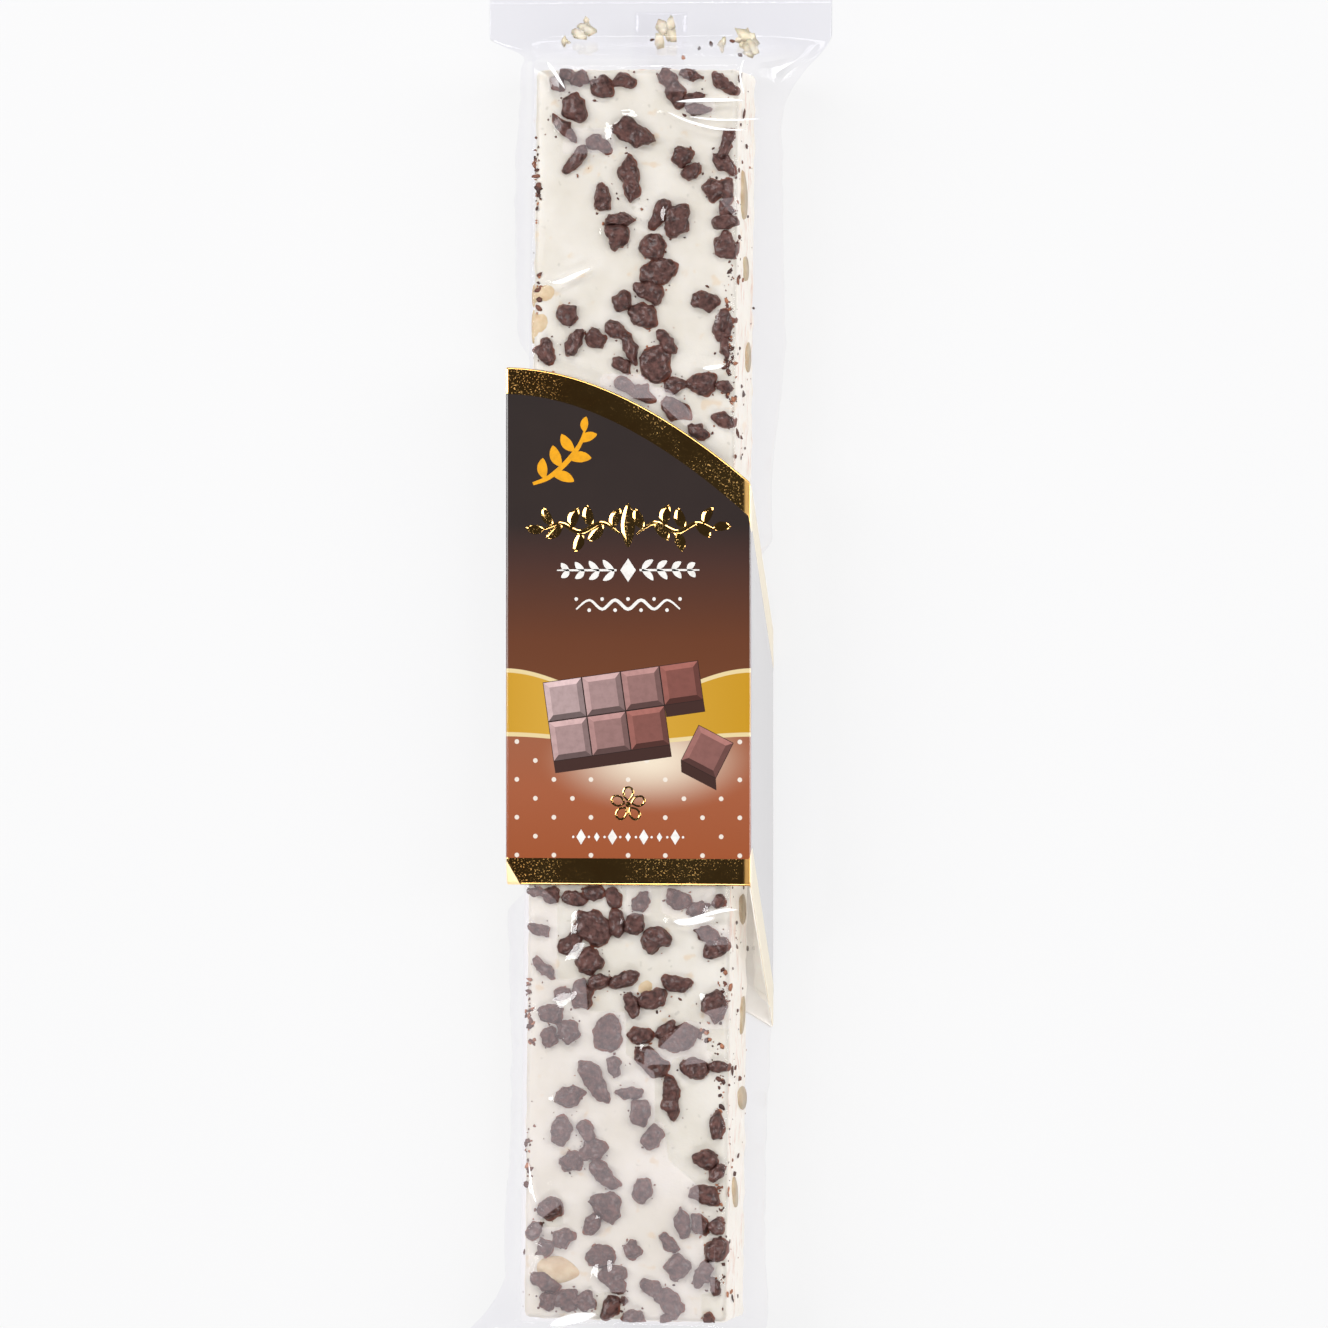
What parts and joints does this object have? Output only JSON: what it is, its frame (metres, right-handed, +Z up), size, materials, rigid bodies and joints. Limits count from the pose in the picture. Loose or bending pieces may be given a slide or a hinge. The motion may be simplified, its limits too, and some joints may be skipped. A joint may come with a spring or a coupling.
{
  "type": "wrapped nougat bar",
  "caption": "Long ivory nougat bar strewn with chopped dark chocolate, in a clear crimped film bag with a printed card sleeve round its middle.",
  "frame": {"origin": "on the surface that the sleeve's back panel rests on, under the middle of the wrapped bar", "axes": "+Y along the bar towards its upper end, +X across it, +Z up out of the strewn top face"},
  "size_m": [0.0628, 0.2366, 0.02],
  "materials": {
    "nougat": "soft ivory confectionery with a slight sheen, small pores and a few almonds",
    "chocolate": "chopped dark chocolate with a soft gloss on its broken faces",
    "almond": "blanched and roasted almond, matt",
    "film": "thin clear glossy wrapping film with soft creases",
    "card": "laminated printed card, dark brown to orange brown, satin gloss",
    "foil": "hot-stamped gold foil, mirror-like and slightly crinkled",
    "card_inner": "plain uncoated inner side of the board"
  },
  "bodies": {
    "root": {"film_wrapped_bar": "nougat", "card_sleeve": "card"}
  },
  "joints": []
}
